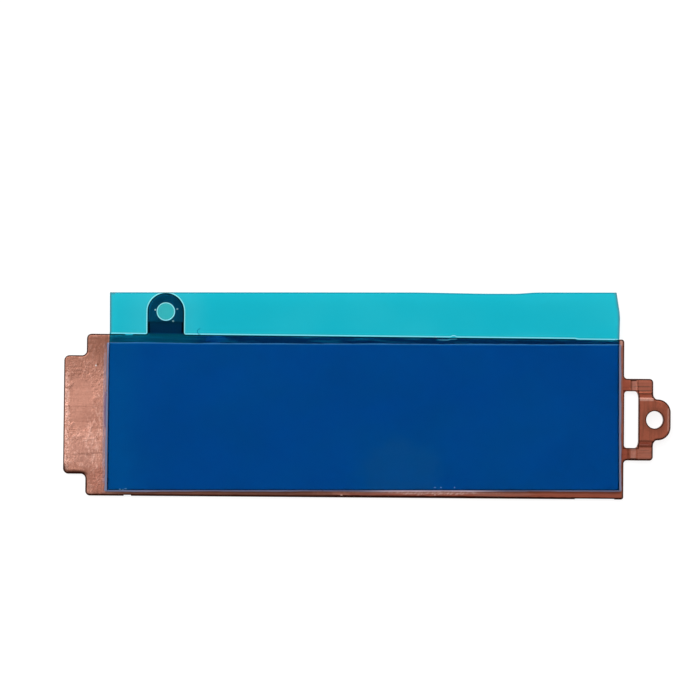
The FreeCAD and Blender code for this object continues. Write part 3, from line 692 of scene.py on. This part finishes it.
# Release film: thin tinted sheet on the pad, with its tail over the ear.
filmLook = {
    "flat": (75.8, 29.2),
    "thickness": 0.1,
    "onPad": 1.8,
    "onEar": 2.004,
    "steps": (224, 92),
    # Distances of the rows close to the edges, and where the even rows start
    "closeRows": (0.0, 0.08, 0.16, 0.25, 0.4),
    "evenFrom": 0.7,
    # Its outline: near and far edges at both ends, a dip in the far one, and places on the sides as Y and X
    "nearEdge": (-11.10, -10.54),
    "farEdge": (18.04, 18.90),
    "farDip": (0.583, 0.761, 0.795, 0.846, 0.19),
    "leftEdge": ((-11.1, -36.77), (9.0, -36.75), (10.3, -36.72), (12.3, -36.60), (18.0, -36.65)),
    "rightEdge": ((-10.5, 39.18), (-3.0, 39.10), (10.4, 39.01), (13.3, 39.05), (15.1, 39.08), (16.0, 39.01),
                  (17.0, 38.84), (18.0, 38.69), (18.9, 38.55)),
    # Its heights: the rise past the pad, the sag away from the ear and its waves, and the wrinkle
    "riseOver": (11.3, 13.7),
    "sag": 0.11,
    "sagOver": (3.2, 16.0),
    "waves": (0.16, 0.8),
    "wrinkle": (12.7, 11.75),
    "wrinkleReach": (1.2, 0.22),
    "wrinkleHeight": 0.09,
    "padTint": (0.016, 0.44, 0.682),
    "tailTint": (0.010, 0.497, 0.615),
    "cloudTint": (0.008, 0.02, 0.015),
    "fadedTint": (0.078, 0.475, 0.677),
    # Painted highlights along the creases and as a halo round the ear
    "creaseHighlight": (0.40, 0.91, 0.98),
    "holeTint": (0.045, 0.51, 0.55),
    "foldTint": (0.30, 0.58, 0.72),
    # Painted glint over the pad's far edge
    "padEdgeGlint": (0.25, 0.54, 0.73),
    # Painted shade along the cut edges, also used for the dark curl beside the ear
    "edgeTint": (0.003, 0.24, 0.36),
    "endTint": (0.075, 0.29, 0.33),
    "fleckTint": (0.72, 1.0, 1.0),
    "roughness": 0.04,
    "ior": 1.35,
    "cloudGrain": (60, 90, 60),
    "fadedGrain": 160.0,
    "fleckGrain": 4000.0,
    "faded": ((6.6, -8.0), (6.4, 6.0)),
    "tailFrom": (11.4, 12.2),
    # The ear and its hole below the film, and the plate's edge with a rise and a sinking of the crease on it
    "earPlace": -28.4,
    "earRound": (15.33, 2.7),
    "earHole": (15.3, 1.375),
    "plateEdge": 11.95,
    "creaseRise": (14.25, 0.5, 0.17),
    "creaseSink": (32.3, 33.0, 0.11),
    # Painted highlight lines along the creases and round the hole: distance and reach, then their share and
    # the hole's soft rim
    "creaseLine": (0.085, 0.095),
    "ringLine": (0.09, 0.10),
    "creaseShare": 0.84,
    "holeSoft": 0.2,
    # Painted halo of light round the ear: distances from the ear with their shares, and distances past the
    # plate's edge
    "haloFrom": (4.5, 0.0, 0.0, 0.04),
    "haloPast": (0.0, 0.4),
    # The wrinkle's lower fold: ends along X, Y and a step, then its fall, step, line, soft ends and share
    "fold": (11.4, 14.8, 11.57, 0.17),
    "foldFall": 0.9,
    "foldStep": (1.4, 0.6),
    "foldLine": (0.0, 0.15),
    "foldSoft": 0.15,
    "foldShare": 0.9,
    # The painted glint over the pad's far edge: distance in from it and reach
    "padLine": (0.06, 0.14),
    # The dark curl beside the ear: centre, radius, reach, and where along X it fades
    "curl": (-23.3, 12.4, 0.42),
    "curlReach": 0.12,
    "curlFade": (0.15, -0.1, 0.0, 0.6),
    # The line of painted shade along the cut edge: distances in from the edge, and its share, which is full
    # at the near and left edges
    "edgeLine": (0.26, 0.09),
    "nearShare": (-9.0, -10.0, 0.58, 1.0),
    "leftShare": (-35.5, -36.3, 0.58, 1.0),
    # The tail's greyer ends: middle and reach along X, where they start across Y, and the fade inwards
    "tailMiddle": 1.1,
    "tailReach": (36.9, 37.1),
    "endFrom": (11.9, 12.2),
    "endFade": (0.50, 0.05, 0.0, 0.8),
    # Pale flecks: share, then centre and half sizes in plan
    "fleckShare": 0.95,
    "flecks": (
        ((-34.84, -10.92), (0.17, 0.07)), ((-34.41, -10.95), (0.14, 0.06)), ((-34.03, -10.85), (0.17, 0.08)),
        ((11.67, -10.32), (0.18, 0.08)), ((12.56, -10.31), (0.15, 0.09)), ((14.58, -10.30), (0.12, 0.12)),
        ((-29.96, 15.54), (0.12, 0.14)), ((-26.72, 15.69), (0.13, 0.13)), ((-27.3, 13.89), (0.16, 0.14)),
    ),
}


def filmMaterial(look):
    material, tree, shader = newMaterial("tintedFilm")
    along, across = axis(tree, "X"), axis(tree, "Y")
    cloud = spread(tree, noise(tree, look["cloudGrain"], detail=2.0), 0.35, 0.70)
    colour = blend(tree, ramp(tree, across, *look["tailFrom"]), look["padTint"], look["tailTint"])
    paler = blend(tree, 1.0, colour, look["cloudTint"], "ADD")
    colour = blend(tree, cloud, colour, paler)
    colour = blend(tree, patch(tree, *look["faded"], 0.6, look["fadedGrain"]), colour, look["fadedTint"])
    # Distance from the ear's outline, which is a half circle on straight sides.
    earY, earHalf = look["earRound"]
    offX = calc(tree, "ABSOLUTE", calc(tree, "SUBTRACT", along, look["earPlace"] * mm))
    pastRound = most(tree, calc(tree, "SUBTRACT", across, earY * mm), 0.0)
    squared = calc(tree, "ADD", calc(tree, "POWER", offX, 2.0), calc(tree, "POWER", pastRound, 2.0))
    offEar = calc(tree, "SUBTRACT", calc(tree, "SQRT", squared), earHalf * mm)
    # Painted highlight where the film is creased over the plate's edge, the ear's outline and the hole, and
    # a painted halo round the ear. Beside the wrinkle the crease rises off the plate's edge, and near the
    # right end it sinks a little.
    riseX, riseReach, rise = look["creaseRise"]
    risen = times(tree, within(tree, along, riseX, riseReach), rise * mm)
    sinkFrom, sinkTo, sink = look["creaseSink"]
    sunk = ramp(tree, along, sinkFrom, sinkTo, 0.0, sink * mm)
    creaseY = calc(tree, "SUBTRACT", calc(tree, "ADD", risen, look["plateEdge"] * mm), sunk)
    offPlate = calc(tree, "SUBTRACT", across, creaseY)
    outline = within(tree, calc(tree, "MINIMUM", offEar, offPlate), *look["creaseLine"])
    earHalo = times(tree, ramp(tree, offEar, *look["haloFrom"]), ramp(tree, offPlate, *look["haloPast"]))
    colour = blend(tree, earHalo, colour, look["creaseHighlight"])
    holeY, holeRadius = look["earHole"]
    fromHole = fromPoint(tree, (look["earPlace"], holeY))
    overHole = ramp(tree, fromHole, holeRadius, holeRadius - look["holeSoft"])
    colour = blend(tree, overHole, colour, look["holeTint"])
    ringIn, ringReach = look["ringLine"]
    highlightLines = most(tree, outline, within(tree, fromHole, holeRadius - ringIn, ringReach))
    colour = blend(tree, times(tree, highlightLines, look["creaseShare"]), colour, look["creaseHighlight"])
    # The wrinkle's lower fold leaves the crease, runs below it and comes back in a step.
    foldFrom, foldTo, foldY, foldStep = look["fold"]
    fallen = ramp(tree, along, foldFrom, foldFrom + look["foldFall"], look["plateEdge"] * mm, foldY * mm)
    stepFrom, stepTo = (foldTo - before for before in look["foldStep"])
    foldLine = calc(tree, "ADD", fallen, ramp(tree, along, stepFrom, stepTo, 0.0, foldStep * mm))
    fold = within(tree, calc(tree, "SUBTRACT", across, foldLine), *look["foldLine"])
    fold = times(tree, fold, band(tree, along, foldFrom, foldTo, look["foldSoft"]))
    colour = blend(tree, times(tree, fold, look["foldShare"]), colour, look["foldTint"])
    # A painted glint where it bends over the pad's far edge, and a short dark curl beside the ear.
    padLineIn, padLineReach = look["padLine"]
    padEdge = padLook["centre"][1] + padLook["width"] / 2 - padLineIn
    slope = math.tan(math.radians(padLook["turn"]))
    offPad = calc(tree, "SUBTRACT", across, times(tree, along, slope))
    offPad = calc(tree, "ADD", offPad, padInset(tree, along))
    colour = blend(tree, within(tree, offPad, padEdge, padLineReach), colour, look["padEdgeGlint"])
    curlX, curlY, curlRadius = look["curl"]
    fadeFrom, fadeTo, *fadeShares = look["curlFade"]
    curl = within(tree, fromPoint(tree, (curlX, curlY)), curlRadius, look["curlReach"])
    curl = times(tree, curl, ramp(tree, along, curlX + fadeFrom, curlX + fadeTo, *fadeShares))
    colour = blend(tree, curl, colour, look["edgeTint"])
    # Painted shade along the cut edges, and greyer at the tail's ends.
    fromEdge = tree.nodes.new("ShaderNodeAttribute")
    fromEdge.attribute_name = "fromEdge"
    inward = fromEdge.outputs["Fac"]
    edgeShare = most(tree, ramp(tree, across, *look["nearShare"]), ramp(tree, along, *look["leftShare"]))
    edgeLine = times(tree, ramp(tree, inward, *look["edgeLine"]), edgeShare)
    colour = blend(tree, edgeLine, colour, look["edgeTint"])
    tailEnds = calc(tree, "ABSOLUTE", calc(tree, "SUBTRACT", along, look["tailMiddle"] * mm))
    tailEnds = times(tree, ramp(tree, tailEnds, *look["tailReach"]), ramp(tree, across, *look["endFrom"]))
    tailEnds = times(tree, tailEnds, ramp(tree, inward, *look["endFade"]))
    colour = blend(tree, tailEnds, colour, look["endTint"])
    for centre, half in look["flecks"]:
        mask = times(tree, patch(tree, centre, half, 0.4, look["fleckGrain"]), look["fleckShare"])
        colour = blend(tree, mask, colour, look["fleckTint"])
    feed(tree, shader.inputs["Base Color"], colour)
    shader.inputs["Transmission Weight"].default_value = 1.0
    shader.inputs["Roughness"].default_value = look["roughness"]
    shader.inputs["IOR"].default_value = look["ior"]
    return material


def filmGrid(look, side):
    # Grid of shares along (u) and across (v). The near and far edges run straight with a slight turn,
    # but for one shallow dip, and the side edges follow a few measured places. The height is the pad's
    # level plus a smooth rise past the pad's far edge, highest at the ear, with long shallow waves and
    # one short wrinkle.
    close = np.array(look["closeRows"])
    lines = []
    for extent, count in zip(look["flat"], look["steps"]):
        start = look["evenFrom"] / extent
        inner = np.linspace(start, 1 - start, count)
        lines.append(np.concatenate([close / extent, inner, 1 - close[::-1] / extent]))
    u, v = np.meshgrid(*lines, indexing="ij")
    near = look["nearEdge"][0] + (look["nearEdge"][1] - look["nearEdge"][0]) * u
    far = look["farEdge"][0] + (look["farEdge"][1] - look["farEdge"][0]) * u
    dipStart, dipFull, dipLeave, dipEnd, dip = look["farDip"]
    far = far - dip * smoothStep(u, dipStart, dipFull) * (1 - smoothStep(u, dipLeave, dipEnd))
    y = near + (far - near) * v
    leftY, leftX = np.array(look["leftEdge"]).T
    rightY, rightX = np.array(look["rightEdge"]).T
    left, right = np.interp(y, leftY, leftX), np.interp(y, rightY, rightX)
    x = left + (right - left) * u
    past = smoothStep(y, *look["riseOver"])
    fromEar = smoothStep(np.abs(x - look["earPlace"]), *look["sagOver"])
    rise = (look["onEar"] - look["onPad"]) * past
    waveRate, waveStart = look["waves"]
    wave = 0.5 + 0.5 * np.sin(x * waveRate + waveStart)
    z = look["onPad"] + rise - fromEar * past * look["sag"] * wave
    wrinkleX, wrinkleY = look["wrinkle"]
    reachX, reachY = look["wrinkleReach"]
    z = z + look["wrinkleHeight"] * np.exp(-((x - wrinkleX) / reachX) ** 2 - ((y - wrinkleY) / reachY) ** 2)
    z = z + (look["thickness"] if side > 0 else 0.0)
    ends = np.minimum(x - left, right - x)
    return np.stack([x, y, z], -1), np.minimum(ends, np.minimum(y - near, far - y)) * mm


filmTop, filmFromEdge = filmGrid(filmLook, 1)
filmBottom = filmGrid(filmLook, -1)[0]
film = closedSheet("releaseFilm", filmTop, filmBottom, filmMaterial(filmLook), filmFromEdge)
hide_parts("release_film")
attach(film, "root")
print("stage: film")


# Floor, light and camera.
studio = {
    "cameraPlace": (-23.618, 0.68, 399.113),
    "cameraTurn": (1.299, -3.252, 0.545),
    "lens": 138.24,
    "sensor": 36.0,
    "lightPlace": (-300.0, 420.0, 820.0),
    "lightSize": 700.0,
    "lightPower": 5.5,
    "skyLevel": 0.62,
    "skyLow": 0.50,
    "skyLean": (-0.22, 0.42, 0.0),
    "skyTop": 0.03,
    "skyOpening": (0.962, 0.978),
    "skyRise": (0.05, 0.45),
    "skyLeanRise": (0.30, 0.65),
    "floorWhite": 0.86,
    "floorSeen": (0.22, 0.22, 0.22),
    "floorLit": (0.75, 0.75, 0.75),
    "floorHalf": 3000.0,
    "floorDrop": 0.02,
}


def floorMaterial(look):
    # White to camera, mirror and see-through rays, with part of its brightness left to the light, so
    # that the object's shadow stays.
    material = bpy.data.materials.new("floorPaper")
    material.use_nodes = True
    tree = material.node_tree
    tree.nodes.clear()
    paper = tree.nodes.new("ShaderNodeBsdfDiffuse")
    glow = tree.nodes.new("ShaderNodeEmission")
    both = tree.nodes.new("ShaderNodeAddShader")
    output = tree.nodes.new("ShaderNodeOutputMaterial")
    path = tree.nodes.new("ShaderNodeLightPath")
    seen = most(tree, path.outputs["Is Camera Ray"], path.outputs["Is Transmission Ray"])
    seen = most(tree, seen, path.outputs["Is Glossy Ray"])
    tree.links.new(blend(tree, seen, look["floorLit"], look["floorSeen"]), paper.inputs["Color"])
    tree.links.new(times(tree, seen, look["floorWhite"]), glow.inputs["Strength"])
    tree.links.new(paper.outputs[0], both.inputs[0])
    tree.links.new(glow.outputs[0], both.inputs[1])
    tree.links.new(both.outputs[0], output.inputs["Surface"])
    return material


floorMesh = bpy.data.meshes.new("floor")
floorCorners = np.array([(-1, -1, 0), (1, -1, 0), (1, 1, 0), (-1, 1, 0)]) * studio["floorHalf"]
floorCorners[:, 2] = -studio["floorDrop"]
floorMesh.from_pydata((floorCorners * mm).tolist(), [], [(0, 1, 2, 3)])
floorMesh.materials.append(floorMaterial(studio))
floor = bpy.data.objects.new("floor", floorMesh)
bpy.context.scene.collection.objects.link(floor)

world = bpy.data.worlds.new("studioSky")
bpy.context.scene.world = world
world.use_nodes = True
skyTree = world.node_tree
sky = skyTree.nodes["Background"]
direction = skyTree.nodes.new("ShaderNodeTexCoord")
upward = skyTree.nodes.new("ShaderNodeSeparateXYZ")
skyTree.links.new(direction.outputs["Generated"], upward.inputs[0])
lean = skyTree.nodes.new("ShaderNodeVectorMath")
lean.operation = "DOT_PRODUCT"
lean.inputs[1].default_value = studio["skyLean"]
skyTree.links.new(direction.outputs["Generated"], lean.inputs[0])
height = upward.outputs["Z"]
leaning = times(skyTree, lean.outputs["Value"], spread(skyTree, height, *studio["skyLeanRise"]))
ground = spread(skyTree, height, *studio["skyRise"], studio["skyLow"], studio["skyLevel"])
level = calc(skyTree, "ADD", leaning, ground)
opening = spread(skyTree, height, *studio["skyOpening"], 1.0, studio["skyTop"])
skyTree.links.new(times(skyTree, level, opening), sky.inputs["Strength"])
sky.inputs["Color"].default_value = (1, 1, 1, 1)

lamp = bpy.data.lights.new("softBox", "AREA")
lamp.size = studio["lightSize"] * mm
lamp.energy = studio["lightPower"]
lampObject = bpy.data.objects.new("softBox", lamp)
lampObject.location = np.array(studio["lightPlace"]) * mm
lampObject.rotation_mode = "QUATERNION"
lampObject.rotation_quaternion = (-lampObject.location).to_track_quat("-Z", "Y")
bpy.context.scene.collection.objects.link(lampObject)

cameraData = bpy.data.cameras.new("camera")
cameraData.lens = studio["lens"]
cameraData.sensor_width = studio["sensor"]
cameraData.clip_start = 0.01
camera = bpy.data.objects.new("camera", cameraData)
camera.location = np.array(studio["cameraPlace"]) * mm
camera.rotation_euler = np.radians(studio["cameraTurn"])
bpy.context.scene.collection.objects.link(camera)
bpy.context.scene.camera = camera
bpy.context.scene.view_settings.view_transform = "Standard"
print("stage: studio")
